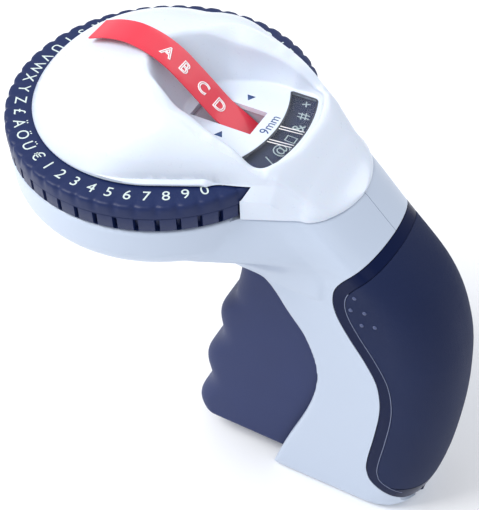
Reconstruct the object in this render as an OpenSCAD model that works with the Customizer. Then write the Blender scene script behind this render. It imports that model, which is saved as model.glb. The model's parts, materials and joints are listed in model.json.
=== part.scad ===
/* [Overall] */
// Diameter of the letter dial
dial_d = 88; // [76:1:106]
// Height of the dial's top face above the table
dial_top = 129; // [115:1:156]
// Width of the handle
handle_w = 33; // [30:0.5:40]
// Depth of the handle at its thickest, behind the front of the foot
handle_depth = 55.5; // [52:0.5:64]
// Distance from the dial's rim to the middle of the foot
neck_reach = 20; // [19:0.5:24]

/* [Shell] */
// Wall of the body halves
wall = 2.2; // [1.6:0.1:2.8]
// Wall of the top cover
cover_wall = 1.8; // [1.4:0.1:2.2]
// Height of the dome above the dial's top face
dome_h = 17.3; // [14:0.1:20]
// Depth of the dish below the dial
dish_depth = 15.6; // [13:0.1:18]
// Rounding of the handle's back edges
back_round = 13; // [9:0.5:14]
// Thickness of the foot's floor
foot_floor = 4; // [3:0.5:6]
// Line left between the shells
seam = 0.12; // [0.05:0.01:0.2]

/* [Dial] */
// Number of characters round the dial
characters = 50; // [40:1:56]
// Height of the dial's side
dial_h = 8.4; // [7.4:0.1:10]
// Gap between the two rings, where the tape runs
tape_gap = 0.8; // [0.7:0.05:1.2]
// Width of the ring that carries the characters
ring_w = 10.5; // [9:0.5:12]
// Diameter of the dial's axle
axle_d = 8; // [6:0.5:9]
// Radial running clearance of a bore on its pin
bore_gap = 0.06; // [0.03:0.01:0.1]

/* [Trigger] */
// Width of the trigger
trigger_w = 26; // [24:0.5:27]
// Wall of the trigger
trigger_wall = 2.2; // [1.8:0.1:2.4]
// Diameter of the trigger's pivot pin
pivot_d = 5; // [4:0.5:6]
// Travel of the trigger in degrees
trigger_travel = 14; // [8:1:14]

/* [Tape] */
// Width of the label tape
tape_w = 9; // [6:0.5:9.5]
// Thickness of the label tape
tape_t = 0.36; // [0.25:0.01:0.4]
// Diameter of the tape spool's flanges
spool_d = 34; // [28:1:36]
// Diameter of the feed roller
feed_d = 10; // [8:0.5:11]

/* [Hidden] */

$fn = 48;
SHELL_FN = 40;       // facets round a shell's corners
big = 400;           // larger than the object, for cutting
eps = 0.01;

// Datums. The origin is the middle of the foot's flat face.
dial_r = dial_d / 2;
dial_x = -(dial_r + neck_reach);
half_w = handle_w / 2;
foot_front = -23;
handle_back = foot_front + handle_depth;
seat_z = dial_top - dial_h - 1;          // where the cover meets the body
dish_top = dial_top - dial_h - 0.5;
dish_bottom = dish_top - dish_depth;
ring_h = (dial_h - tape_gap) / 2;

// Heights along the handle are fractions of the dial's height.
function up(f) = f * dial_top;

// Side outline of the white body: [height, x] from the foot upward.
front_line = [
    [0, foot_front], [up(0.12), foot_front + 4.7], [up(0.31), foot_front + 12.9],
    [up(0.43), foot_front + 15.3], [up(0.53), foot_front + 12.5],
    [up(0.61), foot_front + 6], [up(0.715), foot_front - 5],
    [up(0.78), foot_front - 27]
];
front_top = foot_front - 27;
back_line = [
    [0, handle_back - 8], [up(0.13), handle_back - 3], [up(0.29), handle_back - 0.5],
    [up(0.45), handle_back], [up(0.6), handle_back - 2.2],
    [up(0.73), handle_back - 9.5], [up(0.85), handle_back - 25.5],
    [seat_z, handle_back - 35.1]
];

// Smooth curve through [key, value] points: cubic pieces that share their slopes.
function piece(k, p, i = 0) = (i >= len(p) - 2 || k <= p[i + 1][0]) ? i : piece(k, p, i + 1);
function slope(p, i) =
    let (a = max(i - 1, 0), b = min(i + 1, len(p) - 1))
    (p[b][1] - p[a][1]) / (p[b][0] - p[a][0]);
function smooth(k, p) =
    let (
        i = piece(k, p),
        h = p[i + 1][0] - p[i][0],
        t = (k - p[i][0]) / h
    )
    p[i][1] * (2 * pow(t, 3) - 3 * pow(t, 2) + 1)
    + slope(p, i) * h * (pow(t, 3) - 2 * pow(t, 2) + t)
    + p[i + 1][1] * (3 * pow(t, 2) - 2 * pow(t, 3))
    + slope(p, i + 1) * h * (pow(t, 3) - pow(t, 2));

module at_dial() {
    translate([dial_x, 0, dial_top]) children();
}

// Extrude a side-view outline (x, z) to the width w about the middle plane.
module side_plate(w, y = 0) {
    translate([0, y + w / 2, 0]) rotate([90, 0, 0]) linear_extrude(w) children();
}

// A round pin along Y at (x, z).
module cross_pin(p, d, w, y = 0) {
    translate([p[0], y, p[1]]) rotate([90, 0, 0]) cylinder(d = d, h = w, center = true);
}

// ---------------------------------------------------------------- handle shell

levels = 18;
neck_from = up(0.78);

function level_z(i) =
    i < 12 ? i * neck_from / 12
    : neck_from + (i - 12) * (seat_z - neck_from) / (levels - 12);

// The neck's front edge runs under the dish and widens to meet its side.
function neck_share(z) = max(0, min(1, (z - up(0.75)) / (dish_bottom + 4 - up(0.75))));
function level_front(z) =
    z < neck_from ? smooth(z, front_line)
    : front_top + neck_share(z) * (dial_x + dial_r * 0.74 - front_top);
function level_front_w(z) =
    half_w - 0.8 * z / dial_top + neck_share(z) * (dial_r * 0.59 - half_w);

// Outline of one level of the handle, shrunk by t on its sides and back. Its back
// corners are rounder at the foot than at the neck.
function level_ring(i, t, open, low) =
    let (
        z = max(level_z(i), low),
        w = half_w - 0.5 * pow(z / dial_top - 0.45, 2) + neck_share(z) * 1.2 - t,
        r = max(back_round - t, 2),
        rx = r * (1.15 - 0.25 * z / dial_top),
        fx = level_front(z) - open,
        fw = level_front_w(z) - t,
        cx = smooth(z, back_line) - t - rx
    )
    concat(
        [[fx, -fw, z]],
        [for (a = [-90 : 10 : 0]) [cx + rx * cos(a), r - w + r * sin(a), z]],
        [for (a = [0 : 10 : 90]) [cx + rx * cos(a), w - r + r * sin(a), z]],
        [[fx, fw, z]]
    );

// Convex piece between two outlines that have the same number of points.
module loft_piece(a, b) {
    n = len(a);
    hull() polyhedron(
        concat(a, b),
        concat(
            [[for (k = [n - 1 : -1 : 0]) k]],
            [[for (k = [0 : n - 1]) n + k]],
            [for (k = [0 : n - 1]) [k, (k + 1) % n, n + (k + 1) % n, n + k]]
        )
    );
}

// The handle's solid outer form shrunk by t, with its front pushed out by open.
module handle_form(t = 0, open = 0, low = 0) {
    for (i = [0 : levels - 1])
        loft_piece(level_ring(i, t, open, low), level_ring(i + 1, t, open, low));
}

module dish_profile(t) {
    r = 8;
    translate([0, -dish_depth + t])
        square([dial_r - r, dish_depth - t + (t > 0 ? 5 : 0)]);
    translate([0, -dish_depth + r])
        square([dial_r - t, dish_depth - r + (t > 0 ? 5 : 0)]);
    translate([dial_r - r, -dish_depth + r]) circle(r - t, $fn = SHELL_FN);
}

module dish_form(t = 0) {
    translate([dial_x, 0, dish_top])
        rotate_extrude($fn = 96) intersection() {
            dish_profile(t);
            translate([0, -big / 2]) square([big, big]);
        }
}

// Side outline of the tape door, grown by g.
door_top = up(0.85);
door_low = up(0.105);
hinge_d = 2.4;
knuckle_d = 4.6;
hinge = [smooth(up(0.054), back_line) - knuckle_d / 2 - 0.1, up(0.054)];
knuckle_w = handle_w - 2 * back_round + 5;   // the door's knuckle, between the body's ears
ear_w = 2.3;

module door_outline(g = 0) {
    offset(delta = g) union() {
        polygon([
            [handle_back - 25.5, door_top], [handle_back - 31, up(0.81)],
            [handle_back - 35, up(0.76)], [handle_back - 35.8, up(0.715)],
            [handle_back - 34.3, up(0.67)], [handle_back - 30.4, up(0.616)],
            [handle_back - 25.4, up(0.558)], [handle_back - 21.4, up(0.5)],
            [handle_back - 19.7, up(0.44)], [handle_back - 19.5, up(0.38)],
            [handle_back - 20.5, up(0.295)], [handle_back - 22, up(0.195)],
            [handle_back - 21.8, up(0.147)], [handle_back - 19, door_low],
            hinge, [handle_back + 5, hinge[1]], [handle_back + 5, door_top]
        ]);
    }
}

module hinge_relief(d) {
    cross_pin(hinge, d, handle_w + 10);
}

screw_places = [[handle_back - 42, up(0.694)], [handle_back - 22, up(0.085)]];
screw_d = 3;

module body_shell() {
    difference() {
        union() {
            handle_form();
            dish_form();
        }
        difference() {
            union() {
                handle_form(wall, 6, foot_floor);
                dish_form(wall);
            }
            for (p = screw_places) cross_pin(p, screw_d + 2.6, handle_w);
        }
        // everything above the seat, inside the dial's and the cover's room
        translate([-big / 2, -big / 2, dish_top]) cube(big);
        translate([dial_x + dial_r * 0.8, -big / 2, seat_z]) cube(big);
        side_plate(handle_w + 20) door_outline(seam);
        hinge_relief(knuckle_d + 1);
        for (p = screw_places) cross_pin(p, screw_d + 0.2, handle_w - 2);
        // blind seats for the pins that the two halves hold between them
        cross_pin(pivot, pivot_d + 0.1, seat_w + 0.1);
        cross_pin(pinch, pinch_axle_d + 0.1, seat_w + 0.1);
        at_dial() translate([0, 0, -dish_depth - 20]) cylinder(d = 5.8, h = 20);
    }
    for (s = [-1, 1]) side_plate(ear_w, s * (knuckle_w + ear_w + 0.4) / 2) hinge_ear_outline();
}

// Ear that carries one end of the door's hinge pin.
module hinge_ear_outline() {
    difference() {
        hull() {
            translate(hinge) circle(d = knuckle_d - 0.4);
            translate([hinge[0] - 4, foot_floor - 1]) square([4.6, 1]);
        }
        translate(hinge) circle(d = hinge_d + 0.04);
    }
}

module body_half(side) {
    intersection() {
        body_shell();
        translate([-big / 2, side > 0 ? -seam / 2 : -big - seam / 2, -big / 2]) cube(big);
    }
}

module body_left() {
    color("lightsteelblue") body_half(-1);
}

module body_right() {
    color("lightsteelblue") body_half(1);
}

// ---------------------------------------------------------------- tape door

// Snap hook inside the door's upper end.
module door_latch_outline() {
    hook = [handle_back - 25.8, up(0.818)];
    polygon([
        hook, [hook[0] + 2.4, hook[1] + 0.6], [hook[0] + 4.2, hook[1] - 1],
        [hook[0] + 4.2, hook[1] - 3.4], [hook[0] + 1.6, hook[1] - 2.6],
        [hook[0] - 1, hook[1] - 2.4], [hook[0] - 1.6, hook[1] - 1]
    ]);
}

pad_inset = 3.6;
pad_t = 1.4;
door_wall = 3;

module tape_door() {
    color("midnightblue") difference() {
        union() {
            difference() {
                intersection() {
                    handle_form();
                    side_plate(handle_w + 20) door_outline(-seam);
                }
                handle_form(door_wall, 10);
                difference() {
                    side_plate(handle_w + 20) door_outline(-pad_inset);
                    handle_form(pad_t);
                }
                hinge_relief(knuckle_d + 0.6);
            }
            side_plate(knuckle_w) hull() {
                translate(hinge) circle(d = knuckle_d - 0.2);
                translate([handle_back - 7.8, up(0.14)]) circle(d = 3);
            }
            side_plate(8) door_latch_outline();
        }
        cross_pin(hinge, hinge_d + 2 * bore_gap, handle_w);
    }
}

module grip_pad() {
    color("darkslateblue") difference() {
        intersection() {
            handle_form();
            side_plate(handle_w + 20) door_outline(-pad_inset - 0.1);
        }
        handle_form(pad_t - 0.05);
    }
}

module door_hinge_pin() {
    color("silver") cross_pin(hinge, hinge_d, knuckle_w + 2 * ear_w + 0.6);
}

// ---------------------------------------------------------------- top cover

cover_r = dial_r - 8;                    // edge of the cover above the dial
cover_nose = handle_back - 35.1 - dial_x; // where the cover ends at the back
nose_base = -(dial_top - seat_z) + seam;
shoulder = cover_nose - 11;               // where the nose begins to round
floor_z = 2;                              // floor of the recess above the dial
cover_base = 1;

// Crown of the cover along the middle plane: [x from the dial's axis, height].
crown_line = [
    [-cover_r, cover_base], [-cover_r * 0.9, dome_h * 0.43], [-cover_r * 0.53, dome_h * 0.84],
    [0, dome_h], [dial_r * 0.45, dome_h * 0.74], [dial_r * 0.8, dome_h * 0.46],
    [dial_r + 1, dome_h * 0.2], [cover_nose - 8, -3], [cover_nose, nose_base + 1]
];

// Half width of the cover at its lower edge.
function cover_half_w(x) =
    x < cover_r * 0.447 ? sqrt(max(pow(cover_r, 2) - pow(x, 2), 1))
    : x < dial_r * 0.84 ? cover_r * 0.894 - 0.5 * (x - cover_r * 0.447)
    : x < shoulder ?
        let (t = (x - dial_r * 0.84) / (shoulder - dial_r * 0.84))
        (1 - t) * (dial_r * 0.53) + t * (half_w + 1.1)
    : (half_w + 1.1) * sqrt(max(1 - pow((x - shoulder) / (cover_nose - shoulder), 2), 0.002));
function cover_edge_z(x) = x < dial_r * 0.84 ? cover_base - 0.5 : nose_base;

cover_steps = 26;
function station(i) = -cover_r * cos(180 * min(i / 16, 1) * 0.5)
    + (i > 16 ? (i - 16) / (cover_steps - 16) * cover_nose : 0);

// Outline of the cover across the station i, shrunk by t.
function cover_ring(i, t) =
    let (
        x = station(i),
        w = max(cover_half_w(x) - t, 0.4),
        base = cover_edge_z(x),
        low = base - (t > 0 ? 4 : 0),
        crown = max(smooth(x, crown_line) - t, base + 0.3),
        n = 14
    )
    concat(
        [[x, -w, low], [x, w, low]],
        [for (k = [n : -1 : 0]) if (t > 0 || (k > 0 && k < n))
            let (y = -w * cos(180 * k / n))
            [x, y, base + (crown - base) * pow(max(1 - pow(abs(y) / w, 2.6), 0), 0.6)]]
    );

module cover_form(t = 0) {
    at_dial() for (i = [0 : cover_steps - 1])
        loft_piece(cover_ring(i, t), cover_ring(i + 1, t));
}

// Egg-shaped outline of the recess, grown by g.
module recess_outline(g = 0) {
    hull() {
        translate([12, 0]) circle(13 + g, $fn = SHELL_FN);
        translate([dial_r / 2, 0]) circle(16 + g, $fn = SHELL_FN);
        for (s = [-1, 1])
            translate([dial_r - 7.5, s * 9]) circle(7.8 + g, $fn = SHELL_FN);
    }
}

module recess_floor_outline(g = 0) {
    hull() {
        translate([17, 0]) circle(11 + g, $fn = SHELL_FN);
        for (s = [-1, 1])
            translate([dial_r - 9, s * 7.6]) circle(7.4 + g, $fn = SHELL_FN);
    }
}

module recess_void(g = 0) {
    at_dial() hull() {
        translate([0, 0, floor_z - g]) linear_extrude(eps) recess_floor_outline(g);
        translate([0, 0, dome_h * 0.7]) linear_extrude(dome_h) recess_outline(g);
    }
}

lens_in = dial_r - 8.9;
lens_out = dial_r - 2.2;
lens_half_angle = 22;

module lens_outline(g = 0) {
    intersection() {
        difference() {
            circle(lens_out + g, $fn = 120);
            circle(lens_in - g, $fn = 120);
        }
        polygon([
            [0, 0],
            [dial_d, dial_d * tan(lens_half_angle) + g],
            [dial_d, -dial_d * tan(lens_half_angle) - g]
        ]);
    }
}

chute_w = 10.3;                           // width of the tape's exit
chute_front = 11.5;
chute_back = dial_r - 14.6;
boss_d = 7;

module top_cover() {
    color("white") difference() {
        union() {
            difference() {
                cover_form();
                cover_form(cover_wall);
            }
            intersection() {
                cover_form(0.2);
                recess_void(cover_wall);
            }
            at_dial() translate([0, 0, -3]) cylinder(d = boss_d, h = dome_h * 0.9);
        }
        recess_void();
        // room for the turning dial, up to just above its top face
        at_dial() translate([0, 0, -dial_h - 2]) cylinder(r = dial_r + 0.5, h = dial_h + 2.4, $fn = 120);
        at_dial() translate([0, 0, -3]) cylinder(d = 2.6, h = 8);
        at_dial() translate([0, 0, -1]) linear_extrude(floor_z + 2) lens_outline(0.1);
        at_dial() translate([chute_front, -chute_w / 2, -2])
            cube([chute_back - chute_front, chute_w, 6]);
    }
    color("white") at_dial() difference() {
        translate([0, 0, -3]) cylinder(d = boss_d, h = 3.6);
        translate([0, 0, -4]) cylinder(d = 2.6, h = 9);
    }
}

module window_lens() {
    color("lightcyan") at_dial()
        translate([0, 0, floor_z - 1.2]) linear_extrude(1.2) lens_outline(-0.05);
}

// Sloping floor that leads the tape up and out of the recess.
module tape_chute() {
    color("gainsboro") at_dial() {
        side_plate(chute_w + 1.8) polygon([
            [chute_front - 1, 0.3], [chute_front - 1, -0.8],
            [chute_back - 8, -5.6], [chute_back + 1, -5.6], [chute_back + 1, -4.8],
            [chute_back - 7, -4.6], [chute_front + 1, 0.3]
        ]);
        for (s = [-1, 1]) side_plate(0.8, s * (chute_w / 2 + 0.5)) polygon([
            [chute_front - 1, 0.3], [chute_front - 1, -0.8],
            [chute_back - 8, -5.6], [chute_back + 1, -5.6], [chute_back + 1, 0.3]
        ]);
    }
}

// ---------------------------------------------------------------- dial

hub_top = -dial_h + 3.6;
web_top = -dial_h + 1.8;

module dial_axle() {
    color("silver") at_dial() difference() {
        union() {
            translate([0, 0, -dial_h - 0.5 - dish_depth + wall])
                cylinder(d = 2.6 * axle_d, h = 2);
            translate([0, 0, -dial_h - 0.5 - dish_depth + wall])
                cylinder(d = axle_d, h = dish_depth - wall + dial_h - 2.6);
        }
        translate([0, 0, -dial_h - dish_depth]) cylinder(d = 3.2, h = dish_depth + dial_h);
    }
}

module axle_clip() {
    color("silver") at_dial() translate([0, 0, hub_top + 0.2]) difference() {
        cylinder(d = axle_d + 5, h = 0.8);
        translate([0, 0, -1]) cylinder(d = axle_d + 0.04, h = 3);
        translate([0, -1.2, -1]) cube([axle_d, 2.4, 3]);
    }
}

module axle_screw() {
    base = -dial_h - 0.5 - dish_depth + wall;
    color("dimgray") at_dial() {
        translate([0, 0, base - wall - 0.01]) cylinder(d = 5.4, h = wall - 0.2);
        translate([0, 0, base - 0.3]) cylinder(d = 2.56, h = 3.9 - base);
    }
}

// Upper ring: it carries the printed characters and the upper half of the knurl.
module character_ring() {
    pitch = 360 / characters;
    color("darkslateblue") at_dial() difference() {
        translate([0, 0, -ring_h]) rotate_extrude($fn = 120) polygon([
            [dial_r - ring_w, 0.8], [dial_r - ring_w + 1, 0], [dial_r, 0],
            [dial_r, ring_h - 1], [dial_r - 1, ring_h],
            [dial_r - ring_w, ring_h]
        ]);
        for (i = [0 : characters - 1]) rotate((i + 0.5) * pitch)
            translate([dial_r + 1.1, 0, -1.4]) cylinder(r = 1.8, h = 4, $fn = 24);
    }
}

// Lower ring: one springy die finger for each character, cut apart by slots.
module lower_die_disc() {
    pitch = 360 / characters;
    color("darkslateblue") at_dial() difference() {
        translate([0, 0, -dial_h]) rotate_extrude($fn = 120) polygon([
            [axle_d / 2 + bore_gap, -7], [axle_d / 2 + 4, -7], [axle_d / 2 + 4, 0],
            [dial_r - 0.4, 0], [dial_r, 0.4], [dial_r, ring_h],
            [dial_r - ring_w, ring_h], [dial_r - ring_w, 1.8],
            [axle_d / 2 + 4, 1.8], [axle_d / 2 + 4, 3.6], [axle_d / 2 + bore_gap, 3.6]
        ]);
        for (i = [0 : characters - 1]) rotate((i + 0.5) * pitch)
            translate([dial_r - 4.5, -0.45, -dial_h - 1]) cube([6, 0.9, ring_h]);
    }
}

module detent_spring() {
    base = -dial_h - 0.5 - dish_depth + wall;
    color("silver") at_dial() side_plate(5) polygon([
        [-dial_r + 12, base], [-dial_r + 22, base], [-dial_r + 22, base + 0.5],
        [-dial_r + 12.8, base + 0.5], [-dial_r + 7.2, -dial_h - 1.6],
        [-dial_r + 6.2, -dial_h - 0.35], [-dial_r + 5.2, -dial_h - 1.6],
        [-dial_r + 5.8, -dial_h - 1.9], [-dial_r + 6.4, -dial_h - 1.9]
    ]);
}

// ---------------------------------------------------------------- mechanism

die_x = dial_x + dial_r - 4;              // the selected character's place
pivot = [die_x - 9, dish_bottom - 7];
frame_in = 13;                            // room between the frame's plates
frame_t = 1.6;
press_top = dial_top - dial_h - 3.5;      // top of the hammer at rest
lift = 2.9;                               // how far a full squeeze raises it
lever = lift / (trigger_travel * PI / 180);
crosshead = [pivot[0] + lever, pivot[1] - lift / 2];
crosshead_d = 2.4;
feed = [die_x + 14, dial_top - 25];
pinch_d = 8;
pinch = [feed[0] + feed_d / 2 + pinch_d / 2 + tape_t + 0.3, feed[1]];
roller_w = tape_w + 2;
feed_axle_d = 3;
pinch_axle_d = 2.4;
spool = [handle_back - spool_d / 2 - 4, up(0.4)];
spindle_d = 6;
seat_w = handle_w - 2 * wall + 2;         // pins held between the halves reach into both walls

module frame_outline() {
    difference() {
        hull() {
            translate(pivot) circle(4.6);
            translate([die_x - 7, dish_top - 10]) square([5, 3]);
            translate([feed[0], feed[1] + 4]) circle(4);
            translate(pinch) circle(3.6);
            translate([feed[0] - 2, feed[1] - 4]) circle(3.5);
        }
        translate(pivot) circle(d = pivot_d + 0.04);
        translate(feed) circle(d = feed_axle_d + 2 * bore_gap);
        translate(pinch) circle(d = pinch_axle_d + 0.04);
        // upright slots for the hammer's cross pin
        hull() for (dz = [-0.6, lift + 0.6])
            translate([crosshead[0], crosshead[1] + dz]) circle(d = crosshead_d + 0.5);
    }
}

module mechanism_frame() {
    color("lightgray") {
        for (s = [-1, 1])
            side_plate(frame_t, s * (frame_in + frame_t) / 2) frame_outline();
        // cross bars that tie the plates together and guide the hammer
        for (x = [die_x - 6.6, die_x + 6])
            translate([x, -frame_in / 2, dish_top - 10]) cube([1.2, frame_in, 2.5]);
        translate([feed[0] - 3, -frame_in / 2, feed[1] - 7.4]) cube([4, frame_in, 1.2]);
    }
}

// Trigger outline from the pivot down, drawn from the side.
trigger_low = up(0.058);
module trigger_outer() {
    fx = foot_front;
    polygon(concat(
        [[pivot[0] + 6.5, pivot[1] + 1.5]],
        [for (a = [20 : 20 : 180]) pivot + 6.6 * [cos(a), sin(a)]],
        [for (z = [0.74, 0.7, 0.66, 0.62, 0.58, 0.54, 0.5, 0.46, 0.42, 0.38, 0.34, 0.3,
                   0.26, 0.22, 0.18, 0.14, 0.1])
            [trigger_front(z), up(z)]],
        [[fx - 31, up(0.075)], [fx - 29.5, trigger_low], [fx + 3, trigger_low]],
        [for (z = [0.12, 0.31, 0.43, 0.53]) [smooth(up(z), front_line) + 4, up(z)]],
        [[smooth(up(0.61), front_line) + 2, up(0.61)], [pivot[0] + 9, pivot[1] - 8]]
    ));
}

// Three finger swells on a line that leans forward toward the bottom.
function trigger_front(f) =
    let (lean = (0.74 - f) / 0.64)
    foot_front - 14.5 - 16.5 * pow(lean, 1.1) - 2.2 * sin((0.7 - f) * 360 / 0.205 - 90);

module trigger() {
    inner_w = trigger_w - 2 * trigger_wall;
    color("slateblue") difference() {
        side_plate(trigger_w) union() {
            trigger_outer();
            lever_outline();
        }
        // hollow from behind and above, so that it straddles the frame and the spool
        side_plate(inner_w) difference() {
            union() {
                translate([trigger_wall, 0]) trigger_outer();
                translate([trigger_wall + 8, 0]) trigger_outer();
                translate([pivot[0] - 20, pivot[1] - 6]) square([60, 60]);
            }
            translate([foot_front - 60, 0]) square([120, trigger_low + trigger_wall]);
        }
        cross_pin(pivot, pivot_d + 2 * bore_gap, trigger_w + 2);
    }
}

// Short arm of the trigger that lifts the hammer's cross pin.
module lever_outline() {
    difference() {
        hull() {
            translate(pivot) circle(5);
            translate(crosshead) circle(d = crosshead_d + 3.6);
        }
        translate(crosshead) circle(d = crosshead_d + 0.4);
    }
}

module trigger_pivot_pin() {
    color("silver") cross_pin(pivot, pivot_d, seat_w);
}

// Torsion spring round the pivot pin.
coil_r = pivot_d / 2 + 1.4;
coil_wire = 1;
coil_turns = 5;
coil_pitch = 1.3;
function coil_point(a) = [coil_r * cos(a), a / 360 * coil_pitch - coil_turns * coil_pitch / 2, coil_r * sin(a)];

module trigger_spring() {
    steps = coil_turns * 16;
    sides = 8;
    rings = [for (i = [0 : steps])
        let (a = 360 * i / 16, c = coil_point(a))
        for (k = [0 : sides - 1])
            let (b = 360 * k / sides, r = coil_wire / 2)
            c + r * cos(b) * [cos(a), 0, sin(a)] + r * sin(b) * [0, 1, 0]];
    walls = [for (i = [0 : steps - 1]) for (k = [0 : sides - 1])
        let (a = i * sides + k, b = i * sides + (k + 1) % sides)
        [a, a + sides, b + sides, b]];
    color("silver") translate([pivot[0], 0, pivot[1]])
        polyhedron(rings, concat(
            walls,
            [[for (k = [0 : sides - 1]) k]],
            [[for (k = [sides - 1 : -1 : 0]) steps * sides + k]]
        ));
}

module press_hammer() {
    color("silver") difference() {
        union() {
            translate([die_x - 3.4, -4.5, press_top - 8]) cube([6.8, 9, 8]);
            translate([crosshead[0] - 2.6, -4.5, crosshead[1] - 2.6])
                cube([5.2, 9, press_top - 5 - crosshead[1]]);
        }
        cross_pin(crosshead, crosshead_d + 0.04, 12);
    }
}

module hammer_crosshead() {
    color("dimgray") cross_pin(crosshead, crosshead_d, trigger_w);
}

module cutter_blade() {
    color("gainsboro") side_plate(tape_w + 1, 0) polygon([
        [die_x - 4.3, press_top - 9], [die_x - 3.45, press_top - 9],
        [die_x - 3.45, press_top - 0.3], [die_x - 4.3, press_top - 1.2]
    ]);
}

module feed_roller() {
    color("dimgray") difference() {
        cross_pin(feed, feed_d, roller_w);
        cross_pin(feed, feed_axle_d + 0.02, roller_w + 2);
        for (a = [0 : 20 : 340])
            translate([feed[0], 0, feed[1]]) rotate([0, a, 0])
                translate([feed_d / 2, 0, 0]) cube([0.7, roller_w + 1, 0.5], center = true);
    }
}

module feed_axle() {
    color("silver") cross_pin(feed, feed_axle_d, frame_in + 2 * frame_t + 4.6, 0);
}

ratchet_r = 5.4;
ratchet_y = frame_in / 2 + frame_t + 1.2;

module ratchet_wheel() {
    teeth = 14;
    color("whitesmoke") translate([feed[0], 0, feed[1]]) side_plate(1.6, ratchet_y) difference() {
        polygon([for (i = [0 : teeth - 1]) for (k = [0, 1])
            let (a = 360 * (i + 0.85 * k) / teeth, r = k == 0 ? ratchet_r : ratchet_r - 1.2)
            r * [cos(a), sin(a)]]);
        circle(d = feed_axle_d + 0.02);
    }
}

// Springy stop on the pinch axle that keeps the ratchet from running back.
module ratchet_pawl() {
    tip = [feed[0] + ratchet_r + 0.25, feed[1] - 0.4];
    color("whitesmoke") side_plate(1.6, ratchet_y) difference() {
        hull() {
            translate(pinch) circle(2.3);
            translate(tip) square([0.5, 0.8]);
        }
        translate(pinch) circle(d = pinch_axle_d + 0.04);
    }
}

module pinch_roller() {
    color("darkgray") difference() {
        cross_pin(pinch, pinch_d, roller_w);
        cross_pin(pinch, pinch_axle_d + 2 * bore_gap, roller_w + 2);
    }
}

module pinch_axle() {
    color("silver") cross_pin(pinch, pinch_axle_d, seat_w);
}

// ---------------------------------------------------------------- tape

core_d = 12;
flange_t = 0.9;

module tape_spool() {
    color("dimgray") difference() {
        union() {
            cross_pin(spool, core_d, tape_w + 1);
            for (s = [-1, 1])
                cross_pin(spool, spool_d, flange_t, s * (tape_w + 1 + flange_t) / 2);
        }
        cross_pin(spool, spindle_d + 2 * bore_gap, tape_w + 10);
    }
}

module tape_roll() {
    color("crimson") difference() {
        cross_pin(spool, spool_d - 3, tape_w);
        cross_pin(spool, core_d + 0.04, tape_w + 2);
    }
}

module spool_spindle() {
    color("lightgray") cross_pin(spool, spindle_d, handle_w - 2 * door_wall - 0.6);
}

// Middle line of the free tape, from the roll to its cut end.
roll_r = spool_d / 2 - 1.5;
gap_mid = dial_top - ring_h - tape_gap / 2;
nip_x = feed[0] + feed_d / 2 + (tape_t + 0.3) / 2;
tape_path = [
    [spool[0] - roll_r - 0.5, spool[1]],
    [nip_x - 0.6, (spool[1] + feed[1]) / 2],
    [nip_x, feed[1] - 6], [nip_x, feed[1] + 4],
    [nip_x - 1.4, feed[1] + 12], [nip_x - 6, gap_mid - 2.4], [nip_x - 10, gap_mid - 0.5],
    [nip_x - 13, gap_mid], [dial_x + dial_r - ring_w, gap_mid],
    [dial_x + 27, dial_top - 2.5], [dial_x + 24, dial_top - 0.8], [dial_x + 19.2, dial_top + 2.5],
    [dial_x + 14.3, dial_top + 6.9], [dial_x + 9.4, dial_top + 11.3],
    [dial_x + 4.6, dial_top + 15.2], [dial_x - 1, dial_top + 18], [dial_x - 7.5, dial_top + 19.2],
    [dial_x - 13.8, dial_top + 18.4], [dial_x - 19.6, dial_top + 16.2]
];

// Unit vector square to the path at point i.
function path_side(p, i) =
    let (d = p[min(i + 1, len(p) - 1)] - p[max(i - 1, 0)])
    [-d[1], d[0]] / norm(d);

module label_tape() {
    n = len(tape_path);
    color("crimson") side_plate(tape_w) polygon(concat(
        [for (i = [0 : n - 1]) tape_path[i] + path_side(tape_path, i) * tape_t / 2],
        [for (i = [n - 1 : -1 : 0]) tape_path[i] - path_side(tape_path, i) * tape_t / 2]
    ));
}

module body_screws() {
    color("dimgray") for (p = screw_places) {
        cross_pin(p, screw_d - 0.1, handle_w - 6);
        cross_pin(p, screw_d + 0.1, 1, -(handle_w - 7) / 2);
    }
}

// ---------------------------------------------------------------- nodes

body_left();
body_right();
top_cover();
window_lens();
dial_axle();
axle_clip();
axle_screw();
character_ring();
lower_die_disc();
detent_spring();
mechanism_frame();
trigger();
trigger_pivot_pin();
trigger_spring();
press_hammer();
hammer_crosshead();
cutter_blade();
tape_chute();
feed_roller();
feed_axle();
ratchet_wheel();
ratchet_pawl();
pinch_roller();
pinch_axle();
tape_spool();
tape_roll();
spool_spindle();
label_tape();
tape_door();
grip_pad();
door_hinge_pin();
body_screws();
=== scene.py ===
import json
import math

import bmesh
import bpy
import numpy as np
from mathutils import Matrix, Vector


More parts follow.
